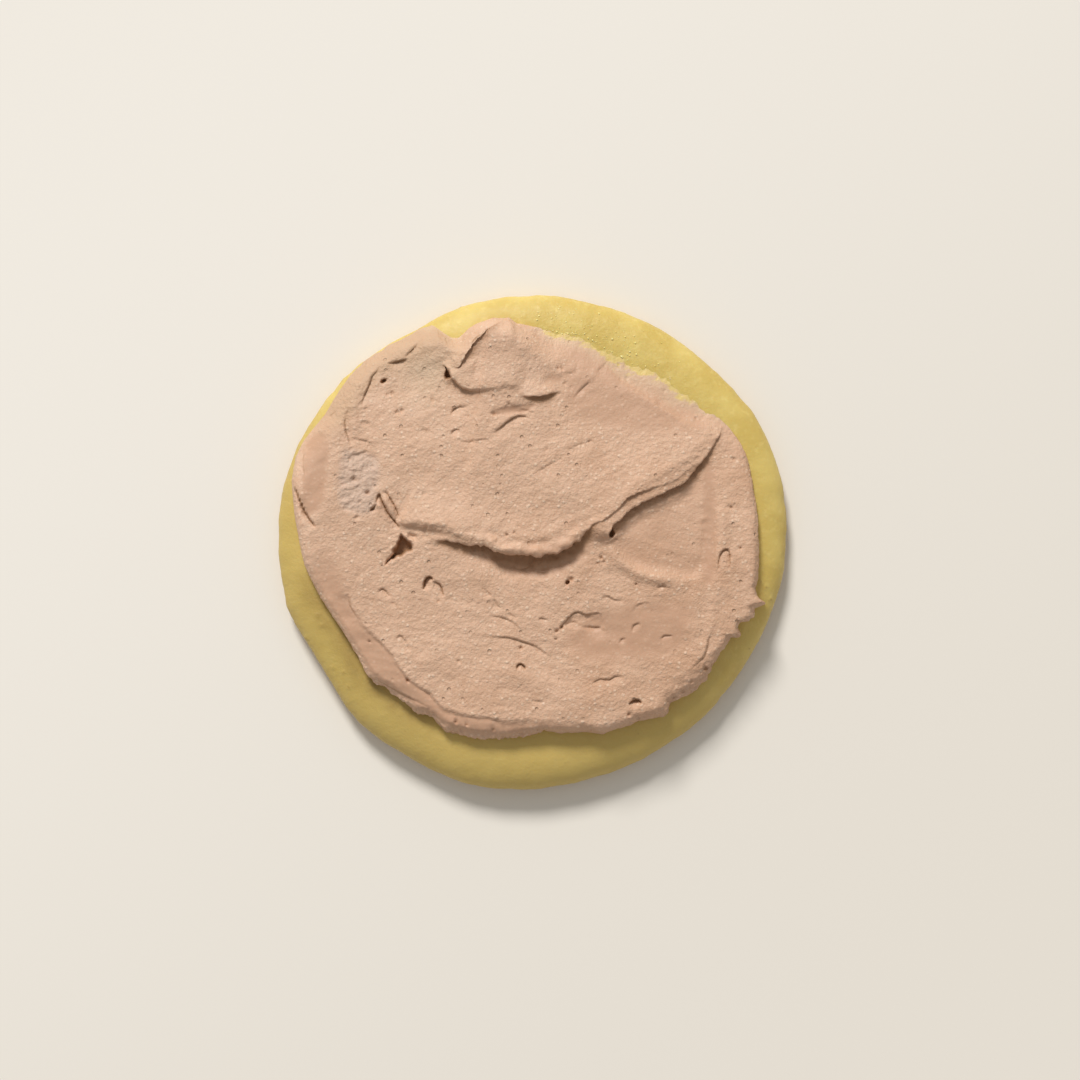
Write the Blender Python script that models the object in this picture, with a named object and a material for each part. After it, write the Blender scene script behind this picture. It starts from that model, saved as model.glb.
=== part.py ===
"""Iced sugar cookie: a pale round biscuit with one thick, roughly spread coat of icing.

Blender 4.5, metres, +Z up. The origin is on the table under the middle of the biscuit.
Seen from above, +X is right and +Y is the side where the icing is scraped thin.
"""

import math

import bmesh
import bpy
from mathutils import Vector

MM = 0.001
TAU = 2 * math.pi

# Driving dimensions, in millimetres.
BISCUIT_WIDTH = 90.0  # across X
BISCUIT_HEIGHT = 7.0  # table to the flat top
EDGE_WIDTH = 6.0  # how far in the rounded top edge starts
EDGE_DROP = 4.2  # how far down it reaches, to the widest line
FOOT_WIDTH = 1.6  # the rounding under the widest line
COAT = 3.8  # usual thickness of the icing
COAT_RIM = 0.5  # thickness at the very edge of the icing
GAP = 0.35  # between the biscuit and the icing
INSET = 0.7  # least distance from the icing's edge to the biscuit's

# How fine the meshes are.
BISCUIT_STEPS = 72
EDGE_STEPS = 5
FOOT_STEPS = 2
ICING_CELLS = 56
UNDER_RINGS = (1.0, 0.97, 0.94, 0.91, 0.87)  # shares of the icing's radius, inwards
SHARP_ANGLE = 50  # degrees, above which an edge isn't shaded smooth

# Radius in millimetres at equal angles, anticlockwise from +X.
BISCUIT_RADII = (
    45.0, 45.5, 45.4, 44.3, 44.0, 43.7, 43.8, 43.6, 43.1, 44.1, 44.6, 45.3,
    45.1, 44.9, 43.5, 44.4, 44.1, 44.5, 43.9, 43.2, 43.2, 43.4, 43.5, 44.4,
)  # fmt: skip
ICING_RADII = (
    40.0, 40.0, 40.7, 40.3, 38.0, 37.3, 36.2, 36.6, 37.0, 37.9, 40.3, 38.8,
    43.0, 44.2, 43.3, 43.2, 44.5, 43.0, 41.2, 39.7, 38.0, 37.0, 37.6, 36.1,
    35.4, 36.2, 35.1, 33.8, 33.8, 36.1, 36.7, 37.6, 38.9, 38.7, 39.9, 40.3,
)  # fmt: skip

# Where the knife left its marks, in millimetres from the middle.
LIP = {
    "path": ((-24, 3.8), (-19, 1), (-14, 0.2), (-8, -0.6), (-3, -2.1), (2, -2.2), (6, -1.2),
             (10, 2.4), (16, 6), (22, 8.6), (28, 12), (32, 16), (33.5, 20)),
    "rise": 2.1, "width": 1.2, "fade": 16.0,
}  # fmt: skip
FLAP = {
    "path": ((-15, 30.5), (-13.4, 28.4), (-11, 27), (-5, 27.6), (1, 26.4)),
    "rise": 0.8, "width": 0.8, "fade": 5.0,
}
TROUGH = {
    "path": ((-16, -2), (-10, -3.4), (-4, -5), (2, -5.4), (7, -3.6)),
    "height": -1.0, "width": 3.0,
}
RIDGES = (
    {"path": ((-15, 30.8), (-11, 34.6), (-6, 39)), "height": 0.9, "width": 1.3},
    {"path": ((-27.5, 8.6), (-25.5, 6.2), (-23, 3.4)), "height": 1.1, "width": 1.4},
    {"path": ((13, 1), (16, -4), (22, -6.4), (30, -7.4)), "height": 0.5, "width": 1.5},
    {"path": ((-3, 28.2), (1.5, 27.2), (5, 27.6)), "height": 0.8, "width": 1.5},
)
GROOVES = (
    TROUGH,
    {"path": ((-34.5, -5), (-31, -14.5), (-24.5, -21), (-19, -27), (-10, -30.7), (4, -32)),
     "height": -0.6, "width": 1.1},
    {"path": ((-33.5, 27), (-33, 22), (-32, 17)), "height": -0.5, "width": 1.2},
    {"path": ((31.5, 12), (31.8, 4), (31, -6)), "height": -0.4, "width": 2.0},
    {"path": ((-1, 25.2), (3.5, 25.4)), "height": -1.0, "width": 1.0},
    {"path": ((-25, -3.5), (-22.5, -0.5)), "height": -1.8, "width": 1.3},
)  # fmt: skip
POCKET = {"middle": (23, 2), "radius": 10.0, "depth": 0.8}

# How far in the icing falls away to its edge: a rounded wall all round, a gentle slope at
# the upper left, and a long thin smear at the upper right. Degrees and millimetres.
WALL_WIDTH = 3.2
SLOPES = (
    {"from": 32.0, "to": 100.0, "soften": 16.0, "width": 17.0},
    {"from": 118.0, "to": 165.0, "soften": 14.0, "width": 8.0},
)


def clear_scene():
    for obj in list(bpy.data.objects):
        bpy.data.objects.remove(obj, do_unlink=True)


def smooth(low, high, value):
    """0 below low, 1 above high, and an even curve between."""
    share = min(max((value - low) / (high - low), 0.0), 1.0)
    return share * share * (3 - 2 * share)


def radius_at(radii, angle):
    """Radius on the smooth closed curve through radii at equal angles."""
    place = angle / TAU * len(radii)
    first = math.floor(place)
    t = place - first
    a, b, c, d = (radii[(first + i) % len(radii)] for i in (-1, 0, 1, 2))
    return b + 0.5 * t * (c - a + t * (2 * a - 5 * b + 4 * c - d + t * (3 * (b - c) + d - a)))


def outline_middle(radii, steps=720):
    """The middle of the outline's bounding box, and its width."""
    points = [
        Vector((math.cos(a), math.sin(a))) * radius_at(radii, a)
        for a in (TAU * i / steps for i in range(steps))
    ]
    xs, ys = [p.x for p in points], [p.y for p in points]
    return Vector(((max(xs) + min(xs)) / 2, (max(ys) + min(ys)) / 2, 0)), max(xs) - min(xs)


def biscuit_radius(angle):
    return radius_at(BISCUIT_RADII, angle)


def icing_radius(angle):
    """The icing stops short of the biscuit's edge."""
    return min(radius_at(ICING_RADII, angle), biscuit_radius(angle) - INSET)


def biscuit_top(x, y):
    """Height of the biscuit's upper surface, flat but for the rounded edge."""
    inset = biscuit_radius(math.atan2(y, x)) - math.hypot(x, y)
    outward = min(max(1 - inset / EDGE_WIDTH, 0.0), 1.0)
    return BISCUIT_HEIGHT - EDGE_DROP * (1 - math.sqrt(1 - outward * outward))


def along(path, x, y):
    """(distance to the path, positive on its left; share of the way along it)."""
    here = Vector((x, y))
    lengths = [(Vector(b) - Vector(a)).length for a, b in zip(path, path[1:])]
    best, gone = (1e9, 0.0), 0.0
    for (a, b), length in zip(zip(path, path[1:]), lengths):
        start, way = Vector(a), Vector(b) - Vector(a)
        t = min(max((here - start).dot(way) / way.length_squared, 0.0), 1.0)
        off = here - (start + way * t)
        side = 1 if way.x * off.y - way.y * off.x >= 0 else -1
        if off.length < abs(best[0]):
            best = (side * off.length, (gone + t * length) / sum(lengths))
        gone += length
    return best


def ends_fade(share):
    """1 along a mark, running out to 0 at its two ends."""
    return math.sin(math.pi * min(max(share, 0.0), 1.0)) ** 0.5


def step_height(mark, x, y):
    """The raised sheet on the left of a path: sharp at the path, dying away behind it."""
    distance, share = along(mark["path"], x, y)
    edge = smooth(-mark["width"], mark["width"], distance)
    return mark["rise"] * edge * ends_fade(share) * math.exp(-max(distance, 0) / mark["fade"])


def ridge_height(mark, x, y):
    distance, share = along(mark["path"], x, y)
    return mark["height"] * math.exp(-((distance / mark["width"]) ** 2)) * ends_fade(share)


def pocket_height(x, y):
    distance = math.dist(POCKET["middle"], (x, y))
    return -POCKET["depth"] * (1 - smooth(0.4 * POCKET["radius"], POCKET["radius"], distance))


def edge_width(angle):
    """How far in from its edge the icing reaches its full thickness."""
    degrees = math.degrees(angle)
    width = WALL_WIDTH
    for slope in SLOPES:
        soften = slope["soften"]
        rising = smooth(slope["from"] - soften, slope["from"] + soften, degrees)
        falling = smooth(slope["to"] - soften, slope["to"] + soften, degrees)
        width += (slope["width"] - WALL_WIDTH) * rising * (1 - falling)
    return width


def coat_thickness(x, y):
    """Thickness of the icing over the biscuit."""
    angle = math.atan2(y, x)
    inset = icing_radius(angle) - math.hypot(x, y)
    outward = min(max(1 - inset / edge_width(angle), 0.0), 1.0)
    fullness = math.sqrt(1 - outward * outward)
    marks = [step_height(mark, x, y) for mark in (LIP, FLAP)]
    marks += [ridge_height(mark, x, y) for mark in RIDGES + GROOVES]
    marks.append(pocket_height(x, y))
    return COAT_RIM + max((COAT - COAT_RIM + sum(marks)) * fullness, 0.0)


def biscuit_profile():
    """(radius, height) from the middle of the underside round to the middle of the top."""
    widest = BISCUIT_HEIGHT - EDGE_DROP
    outer = BISCUIT_WIDTH / 2
    points = [(0.0, 0.0)]
    for i in range(FOOT_STEPS + 1):
        turn = math.pi / 2 * i / FOOT_STEPS
        points.append((outer - FOOT_WIDTH * (1 - math.sin(turn)), widest * (1 - math.cos(turn))))
    for i in range(1, EDGE_STEPS + 1):
        turn = math.pi / 2 * i / EDGE_STEPS
        points.append((outer - EDGE_WIDTH * (1 - math.cos(turn)), widest + EDGE_DROP * math.sin(turn)))
    points.append((0.0, BISCUIT_HEIGHT))
    return points


def make_biscuit():
    """The profile is spun, then each vertex moves with the outline at its angle."""
    bm = bmesh.new()
    profile = [bm.verts.new((r, 0, z)) for r, z in biscuit_profile()]
    edges = [bm.edges.new(pair) for pair in zip(profile, profile[1:])]
    bmesh.ops.spin(
        bm, geom=profile + edges, cent=(0, 0, 0), axis=(0, 0, 1),
        angle=TAU, steps=BISCUIT_STEPS, use_merge=True,
    )  # fmt: skip
    bmesh.ops.remove_doubles(bm, verts=bm.verts, dist=0.001)
    for v in bm.verts:
        share = math.hypot(v.co.x, v.co.y) / (BISCUIT_WIDTH / 2)
        angle = math.atan2(v.co.y, v.co.x)
        radius = share * biscuit_radius(angle)
        v.co.x, v.co.y = radius * math.cos(angle), radius * math.sin(angle)
    return bm


def set_height(verts, height):
    for v in verts:
        v.co.z = height(v.co.x, v.co.y)


def make_icing():
    """A square grid is rounded off to the icing's outline, lifted to the coat's surface,
    and closed underneath by rings that follow the biscuit."""
    bm = bmesh.new()
    bmesh.ops.create_grid(bm, x_segments=ICING_CELLS, y_segments=ICING_CELLS, size=1)
    for v in bm.verts:
        x = v.co.x * math.sqrt(1 - v.co.y**2 / 2)
        y = v.co.y * math.sqrt(1 - v.co.x**2 / 2)
        radius, angle = math.hypot(x, y), math.atan2(y, x)
        v.co = Vector((math.cos(angle), math.sin(angle), 0)) * radius * icing_radius(angle)
    rim = [e for e in bm.edges if e.is_boundary]

    def under(x, y):
        return biscuit_top(x, y) + GAP

    set_height(bm.verts, lambda x, y: under(x, y) + coat_thickness(x, y))
    for share in UNDER_RINGS:
        made = bmesh.ops.extrude_edge_only(bm, edges=rim)["geom"]
        ring = [item for item in made if isinstance(item, bmesh.types.BMVert)]
        for v in ring:
            full = icing_radius(math.atan2(v.co.y, v.co.x))
            scale = share * full / math.hypot(v.co.x, v.co.y)
            v.co.x, v.co.y = v.co.x * scale, v.co.y * scale
        set_height(ring, under)
        ring_set = set(ring)
        rim = [e for e in made if isinstance(e, bmesh.types.BMEdge) and set(e.verts) <= ring_set]
    bmesh.ops.contextual_create(bm, geom=rim)
    return bm


def finish_solid(name, bm, middle, material, collection):
    """Centres the mesh, scales it to metres and puts it in the scene as one smooth solid."""
    bmesh.ops.translate(bm, verts=bm.verts, vec=-middle)
    bmesh.ops.scale(bm, verts=bm.verts, vec=(MM, MM, MM))
    bmesh.ops.recalc_face_normals(bm, faces=bm.faces)
    mesh = bpy.data.meshes.new(name)
    bm.to_mesh(mesh)
    bm.free()
    mesh.shade_smooth()
    mesh.set_sharp_from_angle(angle=math.radians(SHARP_ANGLE))
    mesh.materials.append(material)
    obj = bpy.data.objects.new(name, mesh)
    collection.objects.link(obj)
    return obj


def food_material(name, colour, roughness):
    material = bpy.data.materials.new(name)
    material.use_nodes = True
    shader = material.node_tree.nodes["Principled BSDF"]
    shader.inputs["Base Color"].default_value = (*colour, 1)
    shader.inputs["Roughness"].default_value = roughness
    shader.inputs["Metallic"].default_value = 0.0
    return material


def main():
    clear_scene()
    collection = bpy.data.collections.new("iced_sugar_cookie")
    bpy.context.scene.collection.children.link(collection)
    middle, width = outline_middle(BISCUIT_RADII)
    print(f"the biscuit is {width:.1f} mm across")
    dough = food_material("pale_dough", (0.66, 0.52, 0.19), 0.55)
    butter = food_material("pink_buttercream", (0.64, 0.42, 0.29), 0.5)
    finish_solid("biscuit", make_biscuit(), middle, dough, collection)
    finish_solid("icing", make_icing(), middle, butter, collection)


main()
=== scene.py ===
import math

import bmesh
import bpy
import numpy as np
from mathutils import Matrix, Vector


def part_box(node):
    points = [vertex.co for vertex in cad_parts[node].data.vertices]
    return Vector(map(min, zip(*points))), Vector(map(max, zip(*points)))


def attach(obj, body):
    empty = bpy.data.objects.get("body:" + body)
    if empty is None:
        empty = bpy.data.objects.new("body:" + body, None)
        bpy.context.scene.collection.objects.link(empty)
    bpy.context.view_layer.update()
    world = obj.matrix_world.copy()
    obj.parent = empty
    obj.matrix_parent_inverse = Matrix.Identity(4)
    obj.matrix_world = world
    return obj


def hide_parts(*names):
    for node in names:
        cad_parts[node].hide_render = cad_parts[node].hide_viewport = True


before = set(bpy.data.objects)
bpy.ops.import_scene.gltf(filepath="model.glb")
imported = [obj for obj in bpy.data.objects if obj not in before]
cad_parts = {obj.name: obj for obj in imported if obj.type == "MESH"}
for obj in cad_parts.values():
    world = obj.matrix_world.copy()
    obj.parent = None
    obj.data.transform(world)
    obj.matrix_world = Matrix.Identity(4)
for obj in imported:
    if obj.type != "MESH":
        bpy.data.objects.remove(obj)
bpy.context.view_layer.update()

# Iced sugar cookie: a pale dough round with a knife-spread coat of pinkish icing.
# Shapes are worked out in millimetres and scaled to metres when a mesh is finished.
mm = 0.001

doughBox = [[c / mm for c in corner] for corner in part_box("biscuit")]
doughTop = doughBox[1][2]
flatTop = doughTop - 0.1  # leaves room for the waves of the dough


def ease(low, high, value):
    # 0 at low, 1 at high, an even curve between
    share = np.clip((value - low) / (high - low), 0, 1)
    return share * share * (3 - 2 * share)


def blend(a, b, share):
    return a + (b - a) * share


def bell(x, y, middle, width):
    return np.exp(-((x - middle[0]) ** 2 + (y - middle[1]) ** 2) / (2 * width * width))


lattice = np.random.default_rng(7).uniform(0, 2 * np.pi, (256, 256))


def lumps(x, y, size, seed=0, stretch=1.0, turn=0.0):
    # smooth random heights, about -1 to 1, in lumps size mm across, drawn out along turn degrees
    c, s = math.cos(math.radians(turn)), math.sin(math.radians(turn))
    u = (x * c + y * s) / (size * stretch) + 37.3 * seed
    v = (y * c - x * s) / size + 91.7 * seed
    i, j = np.floor(u).astype(int), np.floor(v).astype(int)
    f, g = u - i, v - j

    def corner(a, b):
        angle = lattice[(i + a) % 256, (j + b) % 256]
        return np.cos(angle) * (f - a) + np.sin(angle) * (g - b)

    fu = f * f * f * (f * (f * 6 - 15) + 10)
    gv = g * g * g * (g * (g * 6 - 15) + 10)
    low = blend(corner(0, 0), corner(1, 0), fu)
    high = blend(corner(0, 1), corner(1, 1), fu)
    return 1.6 * blend(low, high, gv)


def spline(a, b, c, d, t):
    # the smooth curve between b and c, at share t
    return b + 0.5 * t * (c - a + t * (2 * a - 5 * b + 4 * c - d + t * (3 * (b - c) + d - a)))


def roundCurve(values, share):
    # the smooth closed curve through evenly spaced values; share 1 is once round
    values = np.asarray(values)
    place = share * len(values)
    first = np.floor(place).astype(int)
    corners = [values[(first + i) % len(values)] for i in (-1, 0, 1, 2)]
    return spline(*corners, place - first)


def curveThrough(points, closed=False, perSpan=5):
    # a smooth line through the points, as many short straight ones
    points = np.array(points, float)
    if closed:
        padded = np.vstack([points[-1:], points, points[:2]])
    else:
        padded = np.vstack([2 * points[0] - points[1], points, 2 * points[-1] - points[-2]])
    line = []
    for corners in zip(padded, padded[1:], padded[2:], padded[3:]):
        line += [spline(*corners, t) for t in np.arange(perSpan) / perSpan]
    line.append(points[0] if closed else points[-1])
    return np.array(line)


def alongCurve(line, x, y):
    # distance to the line, positive on its left; share of the way along it; its left-hand direction
    nearest = np.full(x.shape, 1e9)
    side, share, leftX, leftY = (np.zeros(x.shape) for _ in range(4))
    lengths = np.linalg.norm(np.diff(line, axis=0), axis=1)
    gone, total = 0.0, lengths.sum()
    for start, end, length in zip(line, line[1:], lengths):
        way = (end - start) / length
        dx, dy = x - start[0], y - start[1]
        t = np.clip(dx * way[0] + dy * way[1], 0, length)
        distance = np.hypot(dx - t * way[0], dy - t * way[1])
        closer = distance < nearest
        nearest = np.where(closer, distance, nearest)
        side = np.where(closer, np.where(way[0] * dy - way[1] * dx < 0, -1, 1), side)
        share = np.where(closer, (gone + t) / total, share)
        leftX, leftY = np.where(closer, -way[1], leftX), np.where(closer, way[0], leftY)
        gone += length
    return side * nearest, share, leftX, leftY


def near(line, x, y, reach):
    low, high = line.min(0) - reach, line.max(0) + reach
    return (x > low[0]) & (x < high[0]) & (y > low[1]) & (y < high[1])


def nearPath(path, x, y, reach, closed=False):
    # which points are near the path, their x and y, and what alongCurve says of them
    line = curveThrough(path, closed)[:, :2]
    close = near(line, x, y, reach)
    return close, x[close], y[close], alongCurve(line, x[close], y[close])


def taper(share, ends=0.5):
    # 1 along a mark, running out to 0 at its two ends
    return np.sin(np.pi * np.clip(share, 0, 1)) ** ends


dough = {
    "steps": 720,  # round the outline
    "edgeWidth": 7.0,  # how far in the rounded top edge starts
    "edgeDrop": 4.2,  # how far down it reaches, to the widest line
    "edgePower": 2.1,  # 2 is a quarter of an ellipse, more is squarer
    "footWidth": 1.8,  # the rounding under the widest line
    "finest": 0.33,  # spacing of the rows that show
    "shown": 19.0,  # how far in from the edge the fine rows go
    "pores": 420,
    "specks": (
        (-37.8, -12.7), (-36.9, -14.5), (-39.9, -16.8), (-35, -22), (-32.3, -25.4), (-33.2, -22.8),
        (41.1, -7.8), (42, -10), (40.3, -6.9), (38.2, -18.7), (18.6, -33.6), (-12.6, 41.8),
    ),
}


def readOutline(node, count):
    # the reach of a CAD node at evenly spaced angles, from its widest points
    points = np.array([v.co[:2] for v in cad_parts[node].data.vertices]) / mm
    bins = np.round(np.arctan2(points[:, 1], points[:, 0]) / (2 * np.pi) * count).astype(int) % count
    reach = np.hypot(points[:, 0], points[:, 1])
    return np.array([reach[bins == k].max() for k in range(count)])


doughReach = readOutline("biscuit", 72)


def doughRadius(angle):
    wobble = 0.12 * lumps(44 * np.cos(angle), 44 * np.sin(angle), 3.1, 3)
    return roundCurve(doughReach, (angle / (2 * np.pi)) % 1) + wobble - 0.1


def doughUneven(x, y):
    # the slight waves that the dough's top has after baking
    return 0.13 * lumps(x, y, 9, 1) + 0.05 * lumps(x, y, 3.4, 2) + 0.02 * lumps(x, y, 1.5, 4)


def edgeFall(inset):
    # how far the dough's rounded edge has fallen, inset mm in from its outline
    outward = np.clip(1 - inset / dough["edgeWidth"], 0, 1)
    power = dough["edgePower"]
    return dough["edgeDrop"] * (1 - (1 - outward**power) ** (1 / power))


def doughHeight(x, y):
    inset = doughRadius(np.arctan2(y, x)) - np.hypot(x, y)
    fall = edgeFall(np.maximum(inset, 0))
    return flatTop - fall + doughUneven(x, y) * (1 - fall / dough["edgeDrop"])


icing = {
    "cells": 200,
    "coat": 3.55,  # usual thickness
    "heaped": 0.4,  # how much thicker it is at the bottom
    "spread": 2.5,  # how much thinner it is at the upper right
    # middle, width, by how much
    "thinner": (((-18.5, 31), 5, 1.6), ((-29, 30), 7, 1.4), ((-20, 38), 4, 0.6)),
    "widest": 0.76,  # how far down the wall it stands out most
    "sink": 0.25,  # how far its underside lies in the dough
    "draw": 1 / 451,  # how much it draws in for each mm of height
    "edge": (
        (40.0, 1.2), (39.9, -6), (39.4, -8), (39.9, -9.3), (40.4, -10), (41.7, -10.8), (40.5, -11.1),
        (39.2, -11.6), (39.4, -13.4), (38.8, -13.9), (38.1, -13.4), (36.9, -14.1), (36.4, -15),
        (36.9, -16.5), (36.1, -16.7), (35, -16.4), (34.2, -18.2), (32.6, -20.4), (31.4, -23),
        (29.8, -24.7), (29.3, -25.9), (27, -27.2), (24.3, -28.2), (24.1, -30), (23, -30.8),
        (19, -31.4), (15, -33), (12.5, -33.9), (9.6, -33.3), (5, -33.6), (2, -33.2), (0, -34),
        (-5, -34.6), (-11, -34.4), (-15.5, -33), (-17.6, -30.8), (-21, -29.7), (-22.3, -28.4),
        (-25.8, -25.8), (-29, -23.9), (-30, -22), (-31, -19.8), (-33.5, -15.6), (-36, -12),
        (-38.3, -8.2), (-40.4, -3.7), (-41.4, 1.2), (-42.3, 7), (-42.6, 11), (-41.9, 15.2),
        (-40.5, 18), (-38, 21), (-36.5, 22.8), (-35.3, 25), (-34.3, 26.6), (-32.2, 29.6),
        (-30.2, 32.4), (-28.2, 34.4), (-26.2, 36.2), (-24, 37.4), (-21, 39), (-18.6, 39.2),
        (-16.9, 38.1), (-15.6, 36.9), (-14.2, 36), (-13, 35.9), (-12.2, 36.7), (-11.2, 37.9),
        (-9.6, 38.9), (-7, 39.8),
        (-4, 39.8), (-2.8, 38.8), (0, 38.2), (4, 37.4), (8, 37.4), (10.5, 36.4), (13.5, 34.6),
        (16, 33.4), (18, 32), (21.4, 31.4), (24, 30), (25.6, 28), (28, 26.2), (29.4, 24.4),
        (31, 23), (33.2, 22.3), (35, 20.2), (37, 17.4), (38.2, 14.4), (39.2, 9),
    ),
    # all round, by degrees: how wide the wall is seen from above, how far it is cut under,
    # how much it is a thin wedge, and how torn it is
    "wall": (
        (0, 1.4, 0.5, 0, 0.3), (12, 1.7, 0.4, 0, 0.2), (24, 2.4, 0.2, 0.1, 0.2),
        (32, 3, 0, 0.75, 0.3), (44, 5, 0, 1, 0.3), (60, 6.5, 0, 1, 0.3), (72, 7.5, 0, 1, 0.3),
        (86, 6, 0, 1, 0.3), (95, 3, 0, 0.5, 0.3), (103, 2.4, 0.1, 0.3, 0.3), (109, 3.4, 0, 0.9, 0.2),
        (116, 4, 0, 0.9, 0.1), (124, 3, 0, 0.5, 0.1), (138, 3, 0, 0.4, 0.1), (147, 4, 0, 0.5, 0.1),
        (157, 4, 0, 0.4, 0.1), (168, 2.2, 0.2, 0, 0.1), (186, 1.3, 0.4, 0, 0.1), (205, 1.2, 0.5, 0, 0.15),
        (215, 1.7, 0.5, 0, 0.3), (222, 2.8, 0.2, 0, 0.6), (232, 2.4, 0.3, 0, 0.6), (250, 2.8, 0.3, 0, 0.9),
        (264, 3.0, 0.2, 0, 1.0), (275, 2.2, 0.3, 0, 0.5), (290, 1.6, 0.4, 0, 0.4), (303, 2.0, 0.4, 0, 0.6),
        (310, 2.4, 0.3, 0, 0.7), (316, 4.0, 0.1, 0, 0.8), (323, 3.4, 0.1, 0, 0.8), (330, 1.3, 0.5, 0, 0.5),
        (346, 1.0, 0.6, 0, 0.4),
    ),
}

# Folded edges, where one layer of the coat lies over another. Each point of a path has x, y, how
# high the layer stands on the path's left, and how far it's folded over to the right.
# Each fold also paints a dark shadow on the coat in front of its edge.
lip = {
    "path": (
        (-18.6, -0.2, 0, 0), (-17.4, 0.1, 0.4, 0), (-16, 0.4, 0.8, 0.1), (-14, 0, 1.0, 0.3),
        (-12, -0.3, 1.2, 0.4), (-10, -0.4, 1.4, 0.5), (-8, -0.6, 1.6, 0.5), (-6.4, -1.3, 1.9, 0.5),
        (-5, -2, 2.1, 0.4), (-2, -2.2, 2.2, 0.4), (0, -2.4, 2.2, 0.4), (2, -2.3, 2.2, 0.4),
        (4, -1.9, 2.1, 0.4), (6, -1, 2.0, 0.4), (8, 0.1, 1.6, 0.3), (9.5, 1.8, 1.0, 0.1),
        (10.6, 3, 0.7, 0.1),
        (12.2, 3.8, 0.5, 0.1), (14, 5, 0.45, 0.15), (15.6, 6.5, 0.45, 0.2), (17, 8, 0.7, 0.35),
        (19, 8.9, 0.65, 0.3), (22, 9.8, 0.45, 0.1), (25, 10.9, 0.4, 0.1), (28, 13, 0.45, 0.15),
        (30.6, 15.5, 0.5, 0.3), (32.3, 17.6, 0.6, 0.3), (33.3, 19.4, 0.4, 0.1), (33.9, 20.6, 0, 0),
    ),
    "far": 1.2,  # the height that it settles to
    "width": 0.36, "fade": 5.0, "ragged": 0.34, "bead": 0.45, "paintedShadow": 1.25,
}
# The lower step of the right half of the lip, over the scraped pocket.
ledge = {
    "path": (
        (13.5, 0.4, 0, 0), (13.6, 1.2, 0.5, 0.1), (14, 2.4, 1.1, 0.4),
        (15.3, 4.2, 1.3, 0.6), (17, 5.8, 1.3, 0.6), (18.8, 7, 1.3, 0.6), (22, 8.5, 1.25, 0.6),
        (26, 10.4, 1.2, 0.6), (28, 12.1, 1.1, 0.6), (30, 14.2, 0.9, 0.4), (31.6, 15.8, 0.5, 0.2),
        (32.6, 17.2, 0, 0),
    ),
    "width": 0.3, "fade": 6.0, "ragged": 0.16, "bead": 0, "paintedShadow": 0.85, "crisp": 6,
}
# The slope behind the left half of the lip.
shoulder = {
    "path": (
        (-24.2, 3.9, 0, 0), (-22.8, 3.2, 0.9, 0), (-20, 3, 1.3, 0), (-18, 2.7, 1.3, 0), (-16, 2.3, 1.2, 0),
        (-14, 1.6, 1.0, 0), (-12, 1, 0.9, 0), (-10, 0.4, 0.7, 0), (-8, 0.1, 0.5, 0), (-5.6, -0.4, 0, 0),
    ),
    "width": 0.72, "fade": 5.0, "ragged": 0.2, "bead": 0, "paintedShadow": 0.45,
}
# The slope behind the end of the right half.
slope = {
    "path": (
        (17.6, 9.4, 0, 0), (20, 10.3, 0.3, 0), (24, 11.9, 0.4, 0), (27, 13.8, 0.4, 0),
        (29.4, 15.9, 0.4, 0), (31.3, 18, 0.3, 0), (32.5, 20.2, 0, 0),
    ),
    "width": 0.75, "fade": 5.0, "ragged": 0.1, "bead": 0, "paintedShadow": 0.25,
}
# A flap of the coat at the upper left, folded back on itself.
flapEdge = {
    "path": (
        (-15.9, 31.8, 0, 0), (-15.3, 30.9, 0.7, 0.2), (-14.5, 29.4, 1.3, 0.3), (-13.2, 28, 1.3, 0.2),
        (-11.5, 27, 1.1, 0.1), (-9.5, 26.9, 0.8, 0), (-7, 27.2, 0.5, 0), (-4, 27.6, 0.4, 0),
        (-1.6, 27.4, 0, 0),
    ),
    "width": 0.42, "fade": 5.0, "ragged": 0.08, "bead": 0.1, "paintedShadow": 0.7,
}
flapSeam = {
    "path": (
        (-14.2, 30.8, 0, 0), (-13, 31.3, 0.7, 0.3), (-12.1, 32.6, 0.9, 0.3), (-11.2, 34.2, 1, 0.4),
        (-9.9, 36.1, 1, 0.4), (-8.4, 37.5, 0.9, 0.4), (-6.9, 38.4, 0.8, 0.3), (-5.6, 39.2, 0.5, 0.1),
        (-3.8, 39.5, 0, 0),
    ),
    "width": 0.32, "fade": 2.0, "ragged": 0.15, "bead": 0.1, "paintedShadow": 0.9,
}
# The lump, with a hollow under it that is darkened by painted shadow.
lump = {
    "path": (
        (-2.6, 26.1, 0, 0), (-0.8, 25.9, 0.6, 0.2), (0.6, 26, 0.9, 0.3), (2, 26.1, 0.9, 0.3),
        (3.4, 26.4, 0.7, 0.2), (4.8, 26.7, 0.2, 0), (6, 27, 0, 0),
    ),
    "width": 0.36, "fade": 2.0, "ragged": 0.1, "bead": 0, "paintedShadow": 1.7,
}
folds = (lip, ledge, shoulder, slope, flapEdge, flapSeam, lump)

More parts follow.
